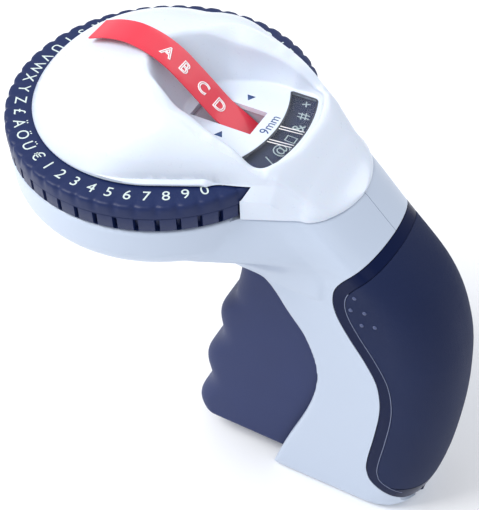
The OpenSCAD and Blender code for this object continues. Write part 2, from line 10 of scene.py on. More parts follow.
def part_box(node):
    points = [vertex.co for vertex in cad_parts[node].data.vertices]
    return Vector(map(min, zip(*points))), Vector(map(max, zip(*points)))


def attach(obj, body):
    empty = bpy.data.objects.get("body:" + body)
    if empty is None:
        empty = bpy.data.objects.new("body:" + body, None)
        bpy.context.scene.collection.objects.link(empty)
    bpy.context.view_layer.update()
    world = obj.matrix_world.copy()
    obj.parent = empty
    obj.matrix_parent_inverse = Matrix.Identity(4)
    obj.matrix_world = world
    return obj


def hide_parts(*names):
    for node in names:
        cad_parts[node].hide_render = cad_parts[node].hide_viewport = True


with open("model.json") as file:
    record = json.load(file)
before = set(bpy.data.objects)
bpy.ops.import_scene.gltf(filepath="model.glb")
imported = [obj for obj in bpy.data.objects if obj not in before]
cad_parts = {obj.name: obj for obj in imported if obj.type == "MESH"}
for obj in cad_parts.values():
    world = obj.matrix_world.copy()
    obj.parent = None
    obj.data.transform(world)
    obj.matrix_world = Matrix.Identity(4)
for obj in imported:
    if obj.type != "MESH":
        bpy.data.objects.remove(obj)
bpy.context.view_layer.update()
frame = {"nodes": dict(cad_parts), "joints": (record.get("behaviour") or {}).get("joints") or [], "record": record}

# ------------------------------------------------------------------ places taken from the CAD part
ring_lo, ring_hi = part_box("character_ring")
MM = (ring_hi.x - ring_lo.x) / 88.0          # one design millimetre
CX = (ring_hi.x + ring_lo.x) / 2
TOP = ring_hi.z
H = TOP / MM                                 # height of the dial's top, in mm
DX = CX / MM
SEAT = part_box("body_left")[0].z / MM + H - 9.4
DISH_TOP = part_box("body_left")[1].z / MM
DISH_LOW = DISH_TOP - 15.6
JOINTS = {j["name"]: j for j in frame["joints"]}
PIVOT = [v / MM for v in JOINTS["trigger_squeeze"]["pos_m"]]
HINGE = [v / MM for v in JOINTS["door_open"]["pos_m"]]


# ------------------------------------------------------------------ small geometry helpers
def curve(k, pts):
    """Cubic curve through (key, value) points, with shared slopes."""
    p = np.asarray(pts, float)
    k = np.asarray(k, float)
    a = np.maximum(np.arange(len(p)) - 1, 0)
    b = np.minimum(np.arange(len(p)) + 1, len(p) - 1)
    m = (p[b, 1] - p[a, 1]) / (p[b, 0] - p[a, 0])
    i = np.clip(np.searchsorted(p[:, 0], k) - 1, 0, len(p) - 2)
    h = p[i + 1, 0] - p[i, 0]
    t = np.clip((k - p[i, 0]) / h, 0, 1)
    return (
        p[i, 1] * (2 * t**3 - 3 * t**2 + 1)
        + m[i] * h * (t**3 - 2 * t**2 + t)
        + p[i + 1, 1] * (3 * t**2 - 2 * t**3)
        + m[i + 1] * h * (t**3 - t**2)
    )


def step(x, a, b):
    t = np.clip((x - a) / (b - a), 0, 1)
    return t * t * (3 - 2 * t)


def blend_max(a, b, k):
    h = np.clip(0.5 + 0.5 * (a - b) / k, 0, 1)
    return b * (1 - h) + a * h + k * h * (1 - h) * 0.5


def new_mesh(name, verts, faces):
    """A mesh object. Vertices are in mm, in the part's frame."""
    me = bpy.data.meshes.new(name)
    me.from_pydata([tuple(float(c) * MM for c in v) for v in verts], [], [tuple(f) for f in faces])
    me.update()
    o = bpy.data.objects.new(name, me)
    bpy.context.scene.collection.objects.link(o)
    return o


def at_dial(pts):
    return [(x + DX, y, z + H) for x, y, z in pts]


def loft(name, rings):
    """Closed solid through rings that have the same number of points."""
    n = len(rings[0])
    verts = [p for r in rings for p in r]
    faces = [tuple(range(n - 1, -1, -1))]
    for i in range(len(rings) - 1):
        for k in range(n):
            a, b = i * n + k, i * n + (k + 1) % n
            faces.append((a, b, b + n, a + n))
    faces.append(tuple(range((len(rings) - 1) * n, len(rings) * n)))
    o = new_mesh(name, verts, faces)
    outward(o)
    return o


def outward(o):
    bm = bmesh.new()
    bm.from_mesh(o.data)
    bmesh.ops.recalc_face_normals(bm, faces=bm.faces)
    bm.to_mesh(o.data)
    bm.free()


def prism(name, outline, y0, y1):
    """Solid with a side outline of (x, z) points, between two planes across Y."""
    return loft(name, [[(x, y0, z) for x, z in outline], [(x, y1, z) for x, z in outline]])


def block(name, lo, hi):
    return prism(name, [(lo[0], lo[2]), (hi[0], lo[2]), (hi[0], hi[2]), (lo[0], hi[2])], lo[1], hi[1])


def revolve(name, profile, segments, at=(0, 0, 0), wobble=None):
    """Ring or disc with a closed profile of (radius, z) points, round the Z axis."""
    n = len(profile)
    verts, faces = [], []
    for s in range(segments):
        a = 2 * math.pi * s / segments
        for k, (r, z) in enumerate(profile):
            if wobble:
                r, z = wobble(a, k, r, z)
            verts.append((at[0] + r * math.cos(a), at[1] + r * math.sin(a), at[2] + z))
    for s in range(segments):
        t = (s + 1) % segments
        for k in range(n):
            faces.append((s * n + k, t * n + k, t * n + (k + 1) % n, s * n + (k + 1) % n))
    o = new_mesh(name, verts, faces)
    bm = bmesh.new()
    bm.from_mesh(o.data)
    bmesh.ops.remove_doubles(bm, verts=bm.verts, dist=1e-7)
    bmesh.ops.recalc_face_normals(bm, faces=bm.faces)
    bm.to_mesh(o.data)
    bm.free()
    return o


def settle(o):
    """Turn a piece's modifiers into plain geometry."""
    bpy.context.view_layer.update()
    graph = bpy.context.evaluated_depsgraph_get()
    me = bpy.data.meshes.new_from_object(o.evaluated_get(graph))
    o.modifiers.clear()
    o.data = me
    return o


def combine(o, other, how):
    m = o.modifiers.new(how, "BOOLEAN")
    m.operation = how
    m.object = other
    m.solver = "EXACT"
    settle(o)
    if not o.data.vertices:
        raise RuntimeError(f"{o.name}: nothing left after {how} with {other.name}")
    bpy.data.objects.remove(other)
    return o


def soften(o, voxel, rounds, keep=1.0, factor=0.5):
    """Even out a solid: rebuild it on a fine grid, relax its edges and thin the faces."""
    m = o.modifiers.new("grid", "REMESH")
    m.mode = "VOXEL"
    m.voxel_size = voxel * MM * 1.0
    s = o.modifiers.new("relax", "SMOOTH")
    s.factor = factor
    s.iterations = rounds
    if keep < 1:
        d = o.modifiers.new("thin", "DECIMATE")
        d.ratio = keep
    return settle(o)


def bevelled(o, width, segments=3, angle=30):
    b = o.modifiers.new("edge", "BEVEL")
    b.width = width * MM
    b.segments = segments
    b.limit_method = "ANGLE"
    b.angle_limit = math.radians(angle)
    b.harden_normals = False
    return settle(o)


def shade(o, angle=None):
    """Smooth shading, with edges sharper than the angle left crisp."""
    bm = bmesh.new()
    bm.from_mesh(o.data)
    for f in bm.faces:
        f.smooth = True
    for e in bm.edges:
        if angle is not None and len(e.link_faces) == 2:
            e.smooth = e.calc_face_angle(0) < math.radians(angle)
    bm.to_mesh(o.data)
    bm.free()
    return o


# ------------------------------------------------------------------ materials
def material(name, color, rough, coat=0.0, metal=0.0, grain=900.0, bump=0.03, mottle=0.04,
             rough_var=0.08, trans=0.0, sheen=0.0, brush=None, ior=1.5, sss=0.0, spec=0.5):
    """Procedural finish: a slow mottle in the colour, uneven gloss and a fine surface grain."""
    m = bpy.data.materials.new(name)
    m.use_nodes = True
    nt = m.node_tree
    nt.nodes.clear()
    out = nt.nodes.new("ShaderNodeOutputMaterial")
    b = nt.nodes.new("ShaderNodeBsdfPrincipled")
    nt.links.new(b.outputs["BSDF"], out.inputs["Surface"])
    geo = nt.nodes.new("ShaderNodeTexCoord")
    where = nt.nodes.new("ShaderNodeMapping")
    where.inputs["Scale"].default_value = brush or (1, 1, 1)
    nt.links.new(geo.outputs["Object"], where.inputs["Vector"])

    def noise(scale, detail, rough_):
        n = nt.nodes.new("ShaderNodeTexNoise")
        n.inputs["Scale"].default_value = scale
        n.inputs["Detail"].default_value = detail
        n.inputs["Roughness"].default_value = rough_
        nt.links.new(where.outputs["Vector"], n.inputs["Vector"])
        return n

    slow = noise(45, 3, 0.5)
    fine = noise(grain, 4, 0.6)
    mix = nt.nodes.new("ShaderNodeMix")
    mix.data_type = "RGBA"
    c = list(color) + [1]
    mix.inputs[6].default_value = [max(v * (1 - mottle), 0) for v in c[:3]] + [1]
    mix.inputs[7].default_value = [min(v * (1 + mottle), 1) for v in c[:3]] + [1]
    nt.links.new(slow.outputs["Fac"], mix.inputs[0])
    nt.links.new(mix.outputs[2], b.inputs["Base Color"])
    gloss = nt.nodes.new("ShaderNodeMapRange")
    gloss.inputs["To Min"].default_value = max(rough - rough_var, 0.02)
    gloss.inputs["To Max"].default_value = min(rough + rough_var, 1)
    nt.links.new(fine.outputs["Fac"], gloss.inputs["Value"])
    nt.links.new(gloss.outputs["Result"], b.inputs["Roughness"])
    bm_ = nt.nodes.new("ShaderNodeBump")
    bm_.inputs["Strength"].default_value = bump
    bm_.inputs["Distance"].default_value = 0.0004
    nt.links.new(fine.outputs["Fac"], bm_.inputs["Height"])
    nt.links.new(bm_.outputs["Normal"], b.inputs["Normal"])
    b.inputs["Metallic"].default_value = metal
    b.inputs["IOR"].default_value = ior
    b.inputs["Coat Weight"].default_value = coat
    b.inputs["Coat Roughness"].default_value = 0.08
    b.inputs["Transmission Weight"].default_value = trans
    b.inputs["Sheen Weight"].default_value = sheen
    b.inputs["Subsurface Weight"].default_value = sss
    b.inputs["Subsurface Scale"].default_value = 0.002
    b.inputs["Specular IOR Level"].default_value = spec
    return m


MAT = {
    # cover_white is the same light blue-grey plastic as body_blue; its lighter colour is painted light on the
    # upward-facing cover
    "cover_white": material("cover_white", (0.66, 0.72, 0.82), 0.30, coat=0.25, bump=0.012, mottle=0.012,
        sss=0.06),
    "body_blue": material("body_blue", (0.49, 0.56, 0.675), 0.36, coat=0.12, bump=0.02, mottle=0.015),
    "dial_navy": material("dial_navy", (0.008, 0.018, 0.078), 0.42, spec=0.28, bump=0.05, mottle=0.08),
    "trigger_navy": material("trigger_navy", (0.016, 0.028, 0.105), 0.55, spec=0.3, bump=0.22, grain=2600,
        mottle=0.10),
    "gloss_navy": material("gloss_navy", (0.003, 0.008, 0.040), 0.22, coat=0.02, spec=0.08, bump=0.006,
        mottle=0.05),
    "grip_rubber": material("grip_rubber", (0.007, 0.015, 0.058), 0.66, bump=0.35, grain=3200,
        mottle=0.12, spec=0.2),
    "clear_lens": material("clear_lens", (0.82, 0.86, 0.90), 0.06, bump=0.004, mottle=0.01, trans=0.97,
        rough_var=0.01, ior=1.12),
    "steel": material("steel", (0.56, 0.57, 0.60), 0.32, metal=1.0, bump=0.10, brush=(1, 14, 1),
        grain=700, mottle=0.05),
    "nylon": material("nylon", (0.76, 0.77, 0.74), 0.45, bump=0.04, mottle=0.03, sss=0.05),
    "roller_rubber": material("roller_rubber", (0.035, 0.035, 0.040), 0.75, bump=0.3, grain=2400,
        mottle=0.1),
    "tape_red": material("tape_red", (0.70, 0.026, 0.055), 0.33, coat=0.30, bump=0.03, grain=1500,
        mottle=0.05),
}
INK_CREAM = material("ink_cream", (0.60, 0.69, 0.66), 0.5, bump=0.05, mottle=0.03)
INK_WHITE = material("ink_white", (0.92, 0.90, 0.90), 0.5, bump=0.06, mottle=0.02)
INK_NAVY = material("ink_navy", (0.020, 0.060, 0.190), 0.5, bump=0.05, mottle=0.03)
SHADE_GREY = material("shade_grey", (0.05, 0.055, 0.07), 0.5, bump=0.04, mottle=0.05)
# painted highlight: the grip dots are coloured lighter than the grip to stand in for the glints on their tops
DOT_PAINTED_HIGHLIGHT = material("dot_painted_highlight", (0.055, 0.075, 0.17), 0.3, bump=0.03, mottle=0.05)
# painted highlight: the lighter line round the grip pad stands in for light caught by the step between pad and
# door
PAINTED_STEP_HIGHLIGHT = material("painted_step_highlight", (0.16, 0.19, 0.30), 0.5, bump=0.05, mottle=0.03)
# painted shade: the tape guide's darker lavender grey stands in for the shade inside the tape slot
CHUTE_PAINTED_SHADE = material("chute_painted_shade", (0.45, 0.44, 0.52), 0.42, bump=0.04, mottle=0.03)


def finish_piece(o, mat, body, node=None, angle=None, sharp=True):
    """Give a piece its finish, and let it ride on a CAD body in place of a node."""
    o.data.materials.clear()
    o.data.materials.append(MAT[mat] if isinstance(mat, str) else mat)
    if sharp:
        shade(o, angle)
    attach(o, body)
    for n in ([node] if isinstance(node, str) else node or []):
        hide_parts(n)
    return o


# every CAD node that stays in view takes the finish of its slot
for part in frame["record"]["subparts"]:
    node_obj = frame["nodes"][part["node"]]
    node_obj.data.materials.clear()
    node_obj.data.materials.append(MAT[part["material_slot"]])

# ------------------------------------------------------------------ top cover
C0 = 24.0                                    # centre of the rays that the cover is drawn on
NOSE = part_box("top_cover")[1].x / MM - DX
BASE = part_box("top_cover")[0].z / MM - H


def seam_w(x):
    """Half width of the neck at the seam."""
    t = np.clip((x - (NOSE - 10.2)) / 10.2, 0, 1)
    return np.where(x < NOSE - 10.2, 17.6 + (NOSE - 10.2 - x) * 0.457, 17.6 * (1 - t**1.8) ** (1 / 1.8))


def cover_w(x):
    """Half width of the cover in plan: a circle, straight flanks, then the neck."""
    ring = np.sqrt(np.maximum(36.0**2 - x**2, 0))
    flank = 32.2 - 0.487 * (x - 16.1)
    w = np.where(x < 16.1, ring, flank)
    s = step(x, 27.4, 31.9)
    return w * (1 - s) + seam_w(x) * s


def cover_z(x, y):
    """Height of the cover's outside, without its recess."""
    ay = np.abs(y)
    rho = np.hypot(x, y) / 36.0
    round_front = 0.9 + 16.4 * np.clip(1 - rho**2.7, 0, 1) ** 0.85
    wa = curve(x, [(-8, 35.1), (0, 36), (6, 35.0), (12, 32.6), (20, 28.9), (28, 25.0), (34, 22.6),
        (40, 20.2), (46, 17.3), (62, 12)])
    top = curve(x, [(-12, 17.0), (0, 17.3), (6, 17.2), (12, 17.0), (20, 16.4), (28, 14.4), (34, 11.6),
        (40, 7.6), (45, 3.4), (52, -4), (62, -14)])
    s = step(x, -4, 16)
    u = ay / wa
    q = step(x, 20, 34)
    zi = np.clip(1 - u ** (2.7 + 1.6 * s + 1.4 * q), 0, 1) ** (0.85 - 0.33 * s - 0.12 * q)
    base = np.minimum(0.9, top - 3)
    inner = base + (top - base) * zi - np.maximum(u - 1, 0) * 30
    wb = cover_w(x)
    low = 0.8 + (BASE + 0.02 - 0.8) * step(x, 27.9, 32.4)
    crest = curve(x, [(-12, 0.9), (0, 1.0), (10, 1.1), (20, 1.4), (27, 2.3), (33, 3.9), (38, 4.5),
        (44.5, 3.9), (51.5, -1.6), (57, -6.2), (NOSE, -8.6)])
    p = curve(x, [(0, 4), (31, 4), (36, 4.6), (44, 4.2), (52, 3.6), (61, 2.6)])
    ub = np.clip(ay / np.maximum(wb, 0.01), 0, 1)
    outer = low + (crest - low) * np.clip(1 - ub**p, 0, 1) ** 0.5
    mixed = blend_max(inner, outer, 5.5)
    f = step(x, -6, 4)
    return round_front * (1 - f) + mixed * f


def polar(points):
    a = [math.atan2(y, x - C0) for x, y in points]
    r = [math.hypot(y, x - C0) for x, y in points]
    order = sorted(zip(a, r))
    first, last = order[0], order[-1]
    if first[0] > 0.05:
        order.insert(0, (-first[0], first[1]))
    return [(-order[1][0], order[1][1])] + order + [(2 * math.pi - order[-2][0], order[-2][1])]


FLOOR_LINE = polar([(43.7, 0), (43.3, 8), (41.6, 13.4), (39.9, 16.2), (37.2, 17.2), (31.2, 17.0),
    (18.7, 14.4), (12.2, 10.6), (9.4, 5.5), (8.6, 0)])
RIM_LINE = polar([(44.6, 0), (44.2, 8.2), (42.5, 13.9), (40.8, 16.9), (37.8, 18.0), (31.5, 17.8),
    (20.6, 16.5), (11.7, 14.4), (6.4, 12.0), (3.2, 9.8), (0.2, 6), (-1.4, 0)])


def cover_solid():
    rays = 360
    rows = []
    for i in range(rays):
        a = 2 * math.pi * i / rays
        ca, sa = math.cos(a), math.sin(a)
        aa = abs((a + math.pi) % (2 * math.pi) - math.pi)
        rf = float(curve(aa, FLOOR_LINE))
        rr = max(float(curve(aa, RIM_LINE)), rf + 0.7)
        lo, hi = 0.0, 80.0
        for _ in range(40):
            mid = (lo + hi) / 2
            x, y = C0 + mid * ca, mid * sa
            inside = -36.0 < x < NOSE and abs(y) < float(cover_w(x))
            lo, hi = (mid, hi) if inside else (lo, mid)
        ro = lo

        def z_at(r):
            return float(cover_z(C0 + r * ca, r * sa))

        col = [(r, 2.0) for r in np.linspace(0, rf - 0.9, 6)[1:]]
        rx = C0 + rr * ca
        drop = float(2.3 * step(rx, 6, 16) * (1 - step(rx, 37, 42)))
        zr = z_at(rr) - drop
        foot, rim = np.array([rf, 2.0]), np.array([rr, zr])
        along = (rim - foot) / max(np.linalg.norm(rim - foot), 1e-6)
        wall_len = np.linalg.norm(rim - foot)
        d = min(1.5, wall_len * 0.45)
        g = min(0.9, wall_len * 0.4)
        a0, a1 = np.array([rf - 0.9, 2.0]), foot + along * g
        for t in np.linspace(0, 1, 6)[1:]:
            col.append(tuple((1 - t) ** 2 * a0 + 2 * t * (1 - t) * foot + t * t * a1))
        b0 = rim - along * d
        for t in np.linspace(0, 1, 9)[1:]:
            p = a1 * (1 - t) + b0 * t
            hollow = math.sin(math.pi * t) * wall_len * 0.03
            col.append((p[0] + hollow, p[1]))
        out = min(1.5 + 1.4 * drop, (ro - rr) * 0.45)
        b1 = np.array([rr + out, z_at(rr + out)])
        for t in np.linspace(0, 1, 8)[1:]:
            col.append(tuple((1 - t) ** 2 * b0 + 2 * t * (1 - t) * rim + t * t * b1))
        for t in np.linspace(0, 1, 52)[1:]:
            r = b1[0] + (ro - b1[0]) * (1 - (1 - t) ** 2.1)
            col.append((r, z_at(r) if t < 1 else z_at(ro - 1e-4)))
        col.append((ro, BASE))
        rows.append([(C0 + r * ca, r * sa, z) for r, z in col])
    n = len(rows[0])
    verts = [p for row in rows for p in row] + [(C0, 0, 2.0)]
    faces = []
    for i in range(rays):
        j = (i + 1) % rays
        faces.append((len(verts) - 1, i * n, j * n))
        for k in range(n - 1):
            faces.append((i * n + k, i * n + k + 1, j * n + k + 1, j * n + k))
    faces.append(tuple(i * n + n - 1 for i in range(rays)))
    o = new_mesh("cover_shell", at_dial(verts), faces)
    outward(o)
    return o


def band(r0, r1, half, corner, n=6):
    """Plan of the window: an arc band cut off parallel to X at half, with rounded corners."""
    def arc(r, y0, y1):
        return [(math.sqrt(r * r - y * y), y) for y in np.linspace(y0, y1, 24)]

    pts = []
    outer, inner = arc(r1, -half + corner, half - corner), arc(r0, half - corner, -half + corner)
    x1, x0 = math.sqrt(r1 * r1 - half * half), math.sqrt(r0 * r0 - half * half)
    for run, ends in ((outer, ((x1 + 0.1, half), (x1 - corner, half))),
            (inner, ((x0 - 0.1, -half), (x0 + corner, -half)))):
        pts += run
        p, c, q = run[-1], ends[0], ends[1]
        for k in range(1, n + 1):
            t = k / n
            pts.append(((1 - t) ** 2 * p[0] + 2 * t * (1 - t) * c[0] + t * t * q[0],
                (1 - t) ** 2 * p[1] + 2 * t * (1 - t) * c[1] + t * t * q[1]))
        first = (outer if run is inner else inner)[0]
        c2 = (x0 - 0.1, half) if run is outer else (x1 + 0.1, -half)
        p2 = (x0 + corner, half) if run is outer else (x1 - corner, -half)
        for k in range(0, n):
            t = k / n
            pts.append(((1 - t) ** 2 * p2[0] + 2 * t * (1 - t) * c2[0] + t * t * first[0],
                (1 - t) ** 2 * p2[1] + 2 * t * (1 - t) * c2[1] + t * t * first[1]))
    return pts


def upright(name, outline, z0, z1):
    """Solid with a plan outline of (x, y) points in the dial's frame."""
    return loft(name, [at_dial([(x, y, z0) for x, y in outline]),
        at_dial([(x, y, z1) for x, y in outline])])


R_IN, R_OUT, HALF = 35.3, 42.4, 15.9
cover = cover_solid()
room = revolve("room", [(0, BASE - 1.5), (44.25, BASE - 1.5), (44.25, 0.45), (0, 0.45)], 160, at=(DX, 0, H))
combine(cover, room, "DIFFERENCE")
combine(cover, upright("hole", band(R_IN - 0.35, R_OUT + 0.35, HALF + 0.35, 1.3), -4, 3.5), "DIFFERENCE")
slot_x0, slot_x1, slot_w = 11.5, 29.9, 4.9
combine(cover, upright("slot", [(slot_x0, -slot_w), (slot_x1, -slot_w), (slot_x1, slot_w),
    (slot_x0, slot_w)], -4, 3.5), "DIFFERENCE")
finish_piece(cover, "cover_white", "housing", "top_cover", angle=38)

# ------------------------------------------------------------------ window
lens = upright("window_pane", band(R_IN - 0.15, R_OUT + 0.15, HALF + 0.15, 1.2), 0.75, 1.75)
bevelled(lens, 0.12, 2)
finish_piece(lens, "clear_lens", "housing", "window_lens", angle=40)
# painted shade: a near-black ring over the gap round the lens stands in for the shade in the window's sunken edge
outer_line = band(R_IN - 0.33, R_OUT + 0.33, HALF + 0.33, 1.28)
inner_line = band(R_IN + 0.1, R_OUT - 0.1, HALF - 0.1, 1.0)
m = min(len(outer_line), len(inner_line))
verts = at_dial([(x, y, 1.88) for x, y in outer_line[:m]] + [(x, y, 1.76) for x, y in inner_line[:m]])
window_shade_ring = new_mesh("window_painted_shade_ring", verts, [(i, (i + 1) % m, m + (i + 1) % m, m + i) for i in range(m)])
finish_piece(window_shade_ring, SHADE_GREY, "housing", angle=40)


def strip(name, p, q, width, z, thick=0.04):
    d = Vector((q[0] - p[0], q[1] - p[1])).normalized()
    n = Vector((-d.y, d.x)) * width / 2
    return upright(name, [(p[0] - n.x, p[1] - n.y), (q[0] - n.x, q[1] - n.y), (q[0] + n.x, q[1] + n.y),
        (p[0] + n.x, p[1] + n.y)], z, z + thick)


for k, y in enumerate((-3.75, -4.75, 1.2, 2.2)):
    line = strip(f"pointer_{k}", (math.sqrt(R_IN**2 - y * y) + 0.1, y - 0.35),
        (math.sqrt(R_OUT**2 - y * y) - 0.2, y + 0.35), 0.3, 1.78)
    finish_piece(line, INK_WHITE, "housing")


# ------------------------------------------------------------------ lettering
def text_mesh(name, body, size, extrude=0.03, weight=0.0, outline=0.0):
    """Flat text as a mesh, centred, in mm, reading along +X with its top toward +Y."""
    c = bpy.data.curves.new(name, "FONT")
    c.body = body
    c.size = size
    c.extrude = extrude
    c.offset = weight
    if outline:
        c.fill_mode = "NONE"
        c.bevel_depth = outline
        c.bevel_resolution = 1
    c.align_x = "CENTER"
    c.align_y = "CENTER"
    c.resolution_u = 4
    o = bpy.data.objects.new(name, c)
    bpy.context.scene.collection.objects.link(o)
    bpy.context.view_layer.update()
    graph = bpy.context.evaluated_depsgraph_get()
    me = bpy.data.meshes.new_from_object(o.evaluated_get(graph))
    bpy.data.objects.remove(o)
    co = np.array([v.co for v in me.vertices]).reshape(-1, 3)
    if len(co):
        mid = (co.max(0) + co.min(0)) / 2
        me.transform(Matrix.Translation((-mid[0], -mid[1], 0)))
    return me


def place(me, name, matrix):
    me.transform(Matrix.Scale(MM, 4) @ matrix)
    o = bpy.data.objects.new(name, me)
    bpy.context.scene.collection.objects.link(o)
    return o


def join(name, objs):
    bm = bmesh.new()
    for o in objs:
        bm.from_mesh(o.data)
        bpy.data.objects.remove(o)
    me = bpy.data.meshes.new(name)
    bm.to_mesh(me)
    bm.free()
    o = bpy.data.objects.new(name, me)
    bpy.context.scene.collection.objects.link(o)
    return o


size_mark = place(text_mesh("size_mark", "9mm", 3.9, 0.02), "size_mark",
                  Matrix.Translation((DX + 32.7, 0.8, H + 2.02)) @ Matrix.Rotation(math.radians(90), 4,
                      "Z"))
finish_piece(size_mark, INK_NAVY, "housing")
for side in (-1, 1):
    tri = upright("arrow_" + "ab"[side > 0],
        [(21.4, side * 9.3), (23.9, side * 9.3), (22.65, side * 7.1)], 1.99, 2.03)
    finish_piece(tri, INK_NAVY, "housing")

# ------------------------------------------------------------------ dial
N_CHAR = 50
PITCH = 2 * math.pi / N_CHAR
PER = 16
RING_W = 10.5


def scallop(a, k, r, z):
    """Shallow finger scallops round the upper edge, one for each character."""
    if r > 42:
        w = 0.5 + 0.5 * math.cos((a / PITCH - 0.5) * 2 * math.pi)
        depth = 0.55 * w**3 * (1 if z > -0.6 else 1 - min(1, (-0.6 - z) / 2.6))
        r -= depth
        if z > -0.5:
            z -= 0.16 * w**3
    return r, z


top_ring = revolve("dial_top_ring", [
    (44 - RING_W, -0.05), (44 - RING_W + 0.4, 0), (36, 0), (40, 0), (42.5, 0), (43.1, -0.04),
        (43.5, -0.22), (43.78, -0.6),
    (43.92, -1.2), (43.97, -2.0), (43.98, -3.2), (43.98, -3.75), (43.7, -3.8), (41, -3.8),
        (44 - RING_W, -3.0)],
    N_CHAR * PER, at=(DX, 0, H), wobble=scallop)
finish_piece(top_ring, "dial_navy", "dial", "character_ring", angle=50)

low_profile = [(4.06, -8.3), (4.06, -4.9), (8, -4.9), (8, -6.6), (44 - RING_W, -6.6), (44 - RING_W, -4.2),
    (43.0, -4.0),
               (43.6, -3.95), (43.78, -4.02), (43.85, -4.2), (43.85, -4.25), (43.85, -8.0), (43.6, -8.35),
                   (42.8, -8.4)]


def notch_profile():
    """Lower ring: narrow slots between the die fingers."""
    cuts = [0.0, 0.03, 0.06, 0.0605, 0.12, 0.5, 0.88, 0.9395, 0.94, 0.97]
    verts, faces = [], []
    n = len(low_profile)
    for c in range(N_CHAR):
        for f in cuts:
            a = (c + 0.5 + f) * PITCH
            inside = f < 0.0702 or f > 0.9298
            for k, (r, z) in enumerate(low_profile):
                if inside and r > 42 and -8.2 < z < -4.22:
                    r = min(r, 42.2)
                verts.append((r * math.cos(a), r * math.sin(a), z))
    total = N_CHAR * len(cuts)
    for s in range(total):
        t = (s + 1) % total
        for k in range(n):
            faces.append((s * n + k, t * n + k, t * n + (k + 1) % n, s * n + (k + 1) % n))
    o = new_mesh("dial_low_ring", at_dial(verts), faces)
    outward(o)
    return o


low_ring = notch_profile()
finish_piece(low_ring, "dial_navy", "dial", "lower_die_disc", angle=40)

CHARS = "UVWXYZ£ÄÖÜ€1234567890.,-/@ &"
marks = []
for i in range(N_CHAR):
    if i < len(CHARS):
        ch = CHARS[i]
    elif i == 28:
        ch = "#"
    elif i == 29:
        ch = "+"
    else:
        ch = chr(ord("A") + i - 30)
    if ch == " ":
        continue
    a = (i - 26) * PITCH
    turn = Matrix.Rotation(a + math.pi / 2, 4, "Z")
    spot = Matrix.Translation((DX + 39.4 * math.cos(a), 39.4 * math.sin(a), H + 0.02))
    size = 4.7
    marks.append(place(text_mesh(f"char_{i}", ch, size, 0.03, 0.0), f"char_{i}", spot @ turn))
blank = [(-1.15, -1.5), (1.15, -1.5), (1.15, 1.5), (-1.15, 1.5)]
frame_pts = [(39.4 + y * s, x * s, 0.05) for s in (1.0, 0.78) for x, y in blank]
square = new_mesh("blank_mark", at_dial(frame_pts),
    [(i, (i + 1) % 4, 4 + (i + 1) % 4, 4 + i) for i in range(4)])
marks.append(square)
letters = join("dial_characters", marks)
finish_piece(letters, INK_CREAM, "dial", sharp=False)

# ------------------------------------------------------------------ label tape
TAPE_W = (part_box("label_tape")[1].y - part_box("label_tape")[0].y) / MM
gap_z = -4.2
path = [(52.4, -77.4), (58.7, -52), (59.33, -31), (59.33, -21), (58, -14), (53.3, -6.7), (49.3, -4.75),
    (46, gap_z),
        (33.5, gap_z), (28.6, -3.3), (24.6, -0.9), (19.2, 2.5), (14.3, 6.9), (9.4, 11.3), (4.6, 15.15),
            (-1, 17.85), (-7.5, 19.1),
        (-13.8, 18.3), (-19.5, 16.25)]


def smooth_path(points, steps):
    pts = [np.array(p, float) for p in points]
    pts = [2 * pts[0] - pts[1]] + pts + [2 * pts[-1] - pts[-2]]
    out = []
    for i in range(1, len(pts) - 2):
        p0, p1, p2, p3 = pts[i - 1:i + 3]
        for t in np.linspace(0, 1, steps, endpoint=False):
            bend = (2 * p0 - 5 * p1 + 4 * p2 - p3) * t**2
            twist = (3 * p1 - p0 - 3 * p2 + p3) * t**3
            out.append(0.5 * (2 * p1 + (p2 - p0) * t + bend + twist))
    return out + [pts[-2]]


track = smooth_path(path, 12)
rings = []
half_t = 0.16
for i, p in enumerate(track):
    d = track[min(i + 1, len(track) - 1)] - track[max(i - 1, 0)]
    d = d / np.linalg.norm(d)
    nrm = np.array([-d[1], d[0]])
    ring = []
    hw = TAPE_W / 2 - 0.01
    for y, s in ((-hw, -1), (-hw, 1), (-hw + 0.25, 1.15), (-2.2, 1.15), (0, 1.15), (2.2, 1.15),
            (hw - 0.25, 1.15), (hw, 1), (hw, -1), (0, -1.0)):
        q = p - nrm * half_t * s
        ring.append((q[0] + DX, y, q[1] + H))
    rings.append(ring)
tape = loft("tape_ribbon", rings)
finish_piece(tape, "tape_red", "housing", "label_tape", angle=45)

lengths = np.cumsum([0] + [np.linalg.norm(b - a) for a, b in zip(track, track[1:])])


def on_tape(x):
    """Point and run direction of the tape above x."""
    i = min(range(len(track) // 2, len(track)), key=lambda k: abs(track[k][0] - x))
    d = track[i - 1] - track[i + 1]
    d = d / np.linalg.norm(d)
    return track[i], d


stamps = []
for ch, x in zip("ABCD", (2.6, 7.7, 12.9, 18.1)):
    p, d = on_tape(x)
    run = Vector((d[0], 0, d[1]))
    side = Vector((0, 1, 0))
    out = run.cross(side)
    if out.z < 0:
        out = -out
        side = -side
    rot = Matrix(((run.x, side.x, out.x, 0), (run.y, side.y, out.y, 0), (run.z, side.z, out.z, 0),
        (0, 0, 0, 1)))
    spot = Matrix.Translation(Vector((p[0] + DX, 0, p[1] + H)) + out * (half_t * 1.15 + 0.0))
    outline = text_mesh("stamp_" + ch, ch, 5.0, 0.0, 0.0, 0.17)
    stamps.append(place(outline, "stamp_" + ch, spot @ rot))
finish_piece(join("tape_letters", stamps), INK_WHITE, "housing", sharp=False)

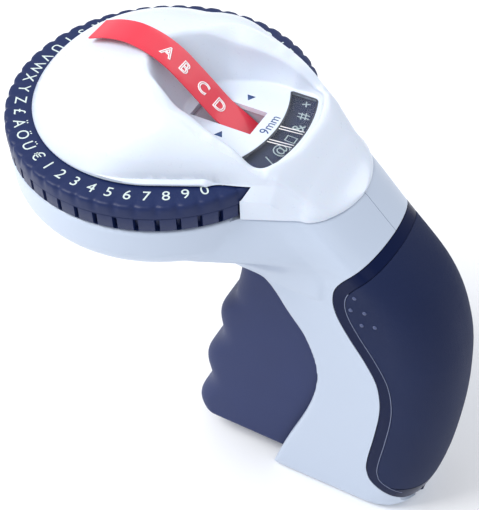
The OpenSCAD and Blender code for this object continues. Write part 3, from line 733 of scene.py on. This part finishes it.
# ------------------------------------------------------------------ tape chute
chute = prism("tape_guide", [(slot_x0 - 0.8 + DX, H + 0.4), (slot_x0 - 0.8 + DX, H - 0.6),
    (20 + DX, H - 5.2), (slot_x1 + 1 + DX, H - 5.5),
                              (slot_x1 + 1 + DX, H - 4.8), (20.6 + DX, H - 4.6),
                                  (slot_x0 + 0.8 + DX, H + 0.4)], -6.0, 6.0)
walls = [prism("w", [(slot_x0 - 0.8 + DX, H + 0.4), (slot_x0 - 0.8 + DX, H - 0.6), (20 + DX, H - 5.2),
    (slot_x1 + 1 + DX, H - 5.5), (slot_x1 + 1 + DX, H + 0.4)],
               s * 5.2, s * 6.0) for s in (-1, 1)]
chute = join("tape_guide", [chute] + walls)
outward(chute)
# the guide takes the painted-shade grey of the slot
finish_piece(chute, CHUTE_PAINTED_SHADE, "housing", "tape_chute", angle=30)

# ------------------------------------------------------------------ handle
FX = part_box("body_left")[0].z / MM - 23.0
BX = 32.5
FRONT = [(0, FX), (0.12 * H, FX + 4.7), (0.31 * H, FX + 12.9), (0.43 * H, FX + 15.3),
    (0.53 * H, FX + 12.5), (0.61 * H, FX + 6),
         (0.715 * H, FX - 5), (0.78 * H, FX - 27)]
BACK = [(0, BX - 8), (0.13 * H, BX - 3), (0.29 * H, BX - 0.5), (0.45 * H, BX), (0.6 * H, BX - 2.2),
    (0.73 * H, BX - 9.5),
        (0.85 * H, BX - 25.5), (SEAT, BX - 35.1)]


def neck_share(z):
    return float(step(z, 0.73 * H, DISH_LOW + 9))


def handle_ring(z, t=0.0, open_=0.0):
    """Outline of the handle at height z, shrunk by t."""
    s = neck_share(z)
    t += 1.4 * max(0.0, 1 - z / 3.2) ** 2
    fx = float(curve(min(z, 0.78 * H), FRONT))
    fx = fx + s * (DX + 32.6 - (FX - 27))
    bx = float(curve(z, BACK)) - t - 0.02
    w = 16.45 - 0.5 * (z / H - 0.45) ** 2 + s * 1.1 - t
    fw = 16.4 - 0.8 * (z / H - 0.3) * (1 - s) + s * 9.3 - t
    tail = 15.5 - 5.3 * s
    e = 2.4 - 0.6 * s
    n = 18
    side = [(fx - open_, fw)]
    for k in range(1, 9):
        q = k / 9
        side.append((fx + (bx - tail - fx) * q, fw + (w - fw) * (q if s > 0.4 else step(q, 0, 1))))
    for k in range(n + 1):
        a = math.pi / 2 * (1 - k / n)
        side.append((bx - tail + tail * math.cos(a) ** (2 / e), w * math.sin(a) ** (2 / e)))
    ring = [(x, -y, z) for x, y in side] + [(x, y, z) for x, y in side[-2::-1]]
    return ring


def handle_solid(name, t=0.0, open_=0.0, low=0.0, high=None):
    high = SEAT if high is None else high
    return loft(name, [handle_ring(z, t, open_) for z in np.linspace(low, high, 64)])


OUTLINE = [(BX - 25.5, 0.85 * H), (BX - 31, 0.81 * H), (BX - 35, 0.76 * H), (BX - 35.8, 0.715 * H),
    (BX - 34.3, 0.67 * H),
           (BX - 30.4, 0.616 * H), (BX - 25.4, 0.558 * H), (BX - 21.4, 0.5 * H), (BX - 19.7, 0.44 * H),
               (BX - 19.5, 0.38 * H),
           (BX - 20.5, 0.295 * H), (BX - 22, 0.195 * H), (BX - 21.8, 0.147 * H), (BX - 19, 0.105 * H),
               (HINGE[0], HINGE[2])]


def offset_line(points, g):
    """Move an open outline sideways by g, toward the front of the handle."""
    pts = [np.array(p, float) for p in points]
    out = []
    for i, p in enumerate(pts):
        d = pts[min(i + 1, len(pts) - 1)] - pts[max(i - 1, 0)]
        d = d / np.linalg.norm(d)
        out.append(p + g * np.array([d[1], -d[0]]))
    return [tuple(p) for p in out]


def door_shape(g, low_cut=0.0):
    """Closed side outline of the door, grown by g, running off behind the handle."""
    base = smooth_path(OUTLINE, 6)
    line = offset_line(base, g)
    line = [p for p in line if p[1] > HINGE[2] + low_cut - g]
    tail = line[-1]
    head = line[0]
    return line + [(BX + 8, tail[1] - 0.5), (BX + 8, head[1] + 12)]


dish = revolve("dish", [(0, 0),
    (36, 0)] + [(36 + 7.9 * math.sin(math.radians(a)),
    7.9 - 7.9 * math.cos(math.radians(a))) for a in range(10, 91, 10)]
               + [(43.9, DISH_TOP - DISH_LOW), (0, DISH_TOP - DISH_LOW)], 128, at=(DX, 0, DISH_LOW))
shell = handle_solid("shell", low=0.03)
combine(shell, dish, "UNION")


def collar(side):
    """One side of the collar as a solid, with every ring cut to the same count of points."""
    rings = []
    for z in np.linspace(H - 38, SEAT - 0.2, 34):
        d = z - H
        wide = float(curve(d, [(-38, 16.0), (-32, 18.6), (-28, 22.3), (-24.5, 26.4), (-22, 27.9),
            (-16, 27.2), (-9.4, 24.7), (-6, 24)]))
        first = float(curve(d, [(-38, 30), (-32, 27), (-28, 22), (-24.5, 16), (-20, 10), (-9, 10)]))
        end = float(curve(d, [(-38, 57), (-22, 57), (-15, 54.5), (-9.4, 51.4), (-6, 51)]))
        slope = (wide - 17.0) / (end - 35.6)
        cap = float(curve(d, [(-38, 20), (-28, 31), (-24.5, 36.2), (-22, 41.2), (-16.6, 43.6), (-9, 43.6)]))
        xs = np.linspace(first, end, 16)
        ring = []
        for x in xs:
            w = wide - slope * (x - 35.6)
            if x < 24:
                w = min(w, math.sqrt(max(cap * cap - x * x, 1)))
            ring.append((x + DX, side * w, z))
        ring += [(end + DX, side * 8, z), (first + DX, side * 8, z)]
        rings.append(ring)
    return loft("collar", rings)


for side in (-1, 1):
    combine(shell, collar(side), "UNION")
soften(shell, 0.6, 16)
cavity = handle_solid("cavity", 2.2, 7.0, low=4.0, high=SEAT + 4)
combine(shell, cavity, "DIFFERENCE")
bowl = revolve("bowl", [(0, 2.2),
    (36, 2.2)] + [(36 + 5.7 * math.sin(math.radians(a)),
    7.9 - 5.7 * math.cos(math.radians(a))) for a in range(10, 91, 10)]
               + [(41.7, 25), (0, 25)], 128, at=(DX, 0, DISH_LOW))
combine(shell, bowl, "DIFFERENCE")
combine(shell, block("over", (DX - 60, -60, DISH_TOP), (60, 60, DISH_TOP + 20)), "DIFFERENCE")
combine(shell, block("over2", (DX + 35, -60, SEAT), (60, 60, SEAT + 20)), "DIFFERENCE")
combine(shell, prism("doorway", door_shape(0.12), -40, 40), "DIFFERENCE")
hinge_cut = prism("hinge_cut", [(HINGE[0] + 2.75 * math.cos(a),
    HINGE[2] + 2.75 * math.sin(a)) for a in np.linspace(0, 2 * math.pi, 33)[:-1]], -40, 40)
combine(shell, hinge_cut, "DIFFERENCE")
for side, node in ((-1, "body_left"), (1, "body_right")):
    half = bpy.data.objects.new("housing_" + node[5:], shell.data.copy())
    bpy.context.scene.collection.objects.link(half)
    combine(half, block("side", (-150, 0.08 if side > 0 else -60, -10),
        (60, 60 if side > 0 else -0.08, 150)), "INTERSECT")
    finish_piece(half, "body_blue", "housing", node, angle=40)
bpy.data.objects.remove(shell)

# ------------------------------------------------------------------ door and grip
door = handle_solid("door_shell")
combine(door, prism("keep", door_shape(-0.14), -40, 40), "INTERSECT")
combine(door, handle_solid("inside", 3.0, 8.0, low=2.0, high=SEAT + 2), "DIFFERENCE")
pad = handle_solid("grip_skin")
combine(pad, prism("keep2", door_shape(-3.7, 3.6), -40, 40), "INTERSECT")
pad_core = handle_solid("core", 1.3, 8.0, low=2.0, high=SEAT + 2)
combine(pad, pad_core, "DIFFERENCE")
pocket = handle_solid("pocket", -0.6, 0.5)
combine(pocket, prism("keep3", door_shape(-3.55, 3.6), -40, 40), "INTERSECT")
combine(pocket, handle_solid("core2", 1.25, 9.0, low=1.0, high=SEAT + 2), "DIFFERENCE")
combine(door, pocket, "DIFFERENCE")
knuckle = prism("knuckle", [(HINGE[0] + 2.15 * math.cos(a),
    HINGE[2] + 2.15 * math.sin(a)) for a in np.linspace(0, 2 * math.pi, 33)[:-1]], -6.0, 6.0)
door = join("door_panel", [door, knuckle])
finish_piece(door, "gloss_navy", "door", "tape_door", angle=40)
soften(pad, 0.32, 4, keep=0.5)
dots = []
for x, z in ((3.02, 96.77), (2.15, 91.5), (6.2, 92.3), (5.64, 87.0), (9.5, 88.2)):
    for side in (-1, 1):
        bm = bmesh.new()
        bmesh.ops.create_uvsphere(bm, u_segments=16, v_segments=10, radius=0.66 * MM)
        me = bpy.data.meshes.new("dot")
        bm.to_mesh(me)
        bm.free()
        me.transform(Matrix.Translation((x * MM, side * 16.3 * MM, z * MM)) @ Matrix.Scale(0.7, 4,
            (0, 1, 0)))
        o = bpy.data.objects.new("dot", me)
        bpy.context.scene.collection.objects.link(o)
        dots.append(o)
# the dots are real bumps; their lighter colour is painted highlight
finish_piece(join("grip_dots", dots), DOT_PAINTED_HIGHLIGHT, "door")
# a thin lighter tube along the pad's edge: painted highlight on the step, not a seam of its own
highlight_lines = []
for side in (-1, 1):
    pts = []
    for x, z in offset_line(smooth_path(OUTLINE, 6), -3.62):
        ring = [q for q in handle_ring(z) if q[1] > 0]
        ring.sort()
        xs_, ys_ = [q[0] for q in ring], [q[1] for q in ring]
        if HINGE[2] + 4.5 < z < HINGE[2] + 91 and xs_[0] < x < xs_[-1] - 3:
            pts.append(Vector((x, side * (float(np.interp(x, xs_, ys_)) - 0.02), z)) * MM)
    c = bpy.data.curves.new("seam", "CURVE")
    c.dimensions = "3D"
    c.bevel_depth = 0.13 * MM
    c.bevel_resolution = 1
    sp = c.splines.new("POLY")
    sp.points.add(len(pts) - 1)
    for k, v in enumerate(pts):
        sp.points[k].co = (v.x, v.y, v.z, 1)
    o = bpy.data.objects.new("seam", c)
    bpy.context.scene.collection.objects.link(o)
    bpy.context.view_layer.update()
    me = bpy.data.meshes.new_from_object(o.evaluated_get(bpy.context.evaluated_depsgraph_get()))
    bpy.data.objects.remove(o)
    o = bpy.data.objects.new("seam", me)
    bpy.context.scene.collection.objects.link(o)
    highlight_lines.append(o)
finish_piece(join("grip_painted_highlight_line", highlight_lines), PAINTED_STEP_HIGHLIGHT, "door")
finish_piece(pad, "grip_rubber", "door", "grip_pad", angle=60)

# ------------------------------------------------------------------ trigger
TRIG_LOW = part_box("trigger")[0].z / MM


def trigger_front(z):
    """Front line of the trigger, with its three finger swells."""
    base = float(curve(z, [(3, FX - 28.8), (13, FX - 29.4), (38, FX - 25.2), (62, FX - 19.2),
        (72, FX - 15.6), (84, FX - 13), (96, FX - 12.5)]))
    return base - 1.6 * math.cos(2 * math.pi * (z - 62) / 24.6) * (1 - float(step(z, 66, 76)))


def trigger_ring(z, t=0.0, open_=0.0):
    fx = trigger_front(z) + t
    if z > PIVOT[2] - 4:
        s = (z - (PIVOT[2] - 4)) / 10
        fx = fx * (1 - s) + (PIVOT[0] - 6.2 + t) * s
    bx = float(curve(min(max(z, 0.12 * H), 0.61 * H), FRONT)) + 3.6 + open_
    if z > 0.61 * H:
        bx = bx + (PIVOT[0] + 9 + open_ - bx) * min((z - 0.61 * H) / (0.14 * H), 1)
    w = 12.9 - t
    r = 7.0
    pts = []
    for k in range(13):
        a = math.pi / 2 * k / 12
        pts.append((fx + r - r * math.cos(a) ** (2 / 2.3), (w - 6.5) + 6.5 * math.sin(a) ** (2 / 2.3)))
    pts.append((fx + r + (bx - fx - r) * 0.5, w))
    pts.append((bx, w))
    return [(x, y, z) for x, y in pts[::-1]] + [(x, -y, z) for x, y in pts]


def trigger_solid(name, t, open_, low, high):
    return loft(name, [trigger_ring(z, t, open_) for z in np.linspace(low, high, 60)])


trig = trigger_solid("trigger_lever", 0.0, 0.0, TRIG_LOW + 0.05, PIVOT[2] + 6.0)
combine(trig, trigger_solid("hollow", 2.2, 20.0, TRIG_LOW + 2.2, PIVOT[2] + 12), "DIFFERENCE")
combine(trig, block("above", (-70, -10.75, PIVOT[2] - 6), (20, 10.75, PIVOT[2] + 20)), "DIFFERENCE")
soften(trig, 0.45, 5, keep=0.4)
arms = []
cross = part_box("hammer_crosshead")
hx, hz = (cross[0].x + cross[1].x) / 2 / MM, (cross[0].z + cross[1].z) / 2 / MM
for side in (-1, 1):
    line = []
    for k in range(9):
        a = math.radians(90 + 180 * k / 8)
        line.append((PIVOT[0] + 4.6 * math.cos(a), PIVOT[2] + 4.6 * math.sin(a)))
    for k in range(9):
        a = math.radians(-90 + 180 * k / 8)
        line.append((hx + 2.8 * math.cos(a), hz + 2.8 * math.sin(a)))
    arms.append(prism("arm", line, side * 10.85, side * 12.85))
trig = join("trigger_lever", [trig] + arms)
finish_piece(trig, "trigger_navy", "trigger", "trigger", angle=50)

# ------------------------------------------------------------------ floor, light and camera
floor_me = bpy.data.meshes.new("floor")
floor_me.from_pydata([(-3, -3, 0), (3, -3, 0), (3, 3, 0), (-3, 3, 0)], [], [(0, 1, 2, 3)])
floor_obj = bpy.data.objects.new("floor", floor_me)
bpy.context.scene.collection.objects.link(floor_obj)
floor_obj.location.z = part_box("body_left")[0].z - 0.0002
floor_me.materials.append(material("floor_paper", (0.93, 0.935, 0.945), 0.85, bump=0.02, grain=300,
    mottle=0.006, spec=0.1))

world = bpy.data.worlds.new("studio")
bpy.context.scene.world = world
world.use_nodes = True
bg = world.node_tree.nodes["Background"]
bg.inputs["Color"].default_value = (0.93, 0.95, 1.0, 1)
bg.inputs["Strength"].default_value = 0.72


def lamp(name, place_, target, size, power, color=(1, 1, 1)):
    d = bpy.data.lights.new(name, "AREA")
    d.shape = "RECTANGLE"
    d.size, d.size_y = size
    d.energy = power
    d.color = color
    o = bpy.data.objects.new(name, d)
    bpy.context.scene.collection.objects.link(o)
    o.location = place_
    o.rotation_euler = (Vector(target) - Vector(place_)).to_track_quat("-Z", "Y").to_euler()
    return o


aim = (-0.03, 0, 0.08)
lamp("key", (-0.45, -0.30, 0.75), aim, (0.5, 0.5), 6.3)
lamp("fill", (0.55, -0.45, 0.45), aim, (0.5, 0.6), 0.7, (0.93, 0.96, 1))
lamp("back", (0.1, 0.7, 0.6), aim, (0.8, 0.4), 1.6)

az = math.radians(30.797)
el = math.radians(46.637)
roll = math.radians(-2.469)
back = Vector((math.sin(az) * math.cos(el), -math.cos(az) * math.cos(el), math.sin(el)))
right = Vector((math.cos(az), math.sin(az), 0))
up = back.cross(right)
r_ax = right * math.cos(roll) + up * math.sin(roll)
u_ax = up * math.cos(roll) - right * math.sin(roll)
cam_data = bpy.data.cameras.new("camera")
cam_data.sensor_width = 36
cam_data.lens = 84.71
cam = bpy.data.objects.new("camera", cam_data)
bpy.context.scene.collection.objects.link(cam)
spot = (Vector((DX, 0, H)) + r_ax * 20.92 - u_ax * 43.51 + back * 330.3) * MM
cam.matrix_world = Matrix(((r_ax.x, u_ax.x, back.x, spot.x), (r_ax.y, u_ax.y, back.y, spot.y),
    (r_ax.z, u_ax.z, back.z, spot.z), (0, 0, 0, 1)))
bpy.context.scene.camera = cam
bpy.context.scene.view_settings.view_transform = "Standard"
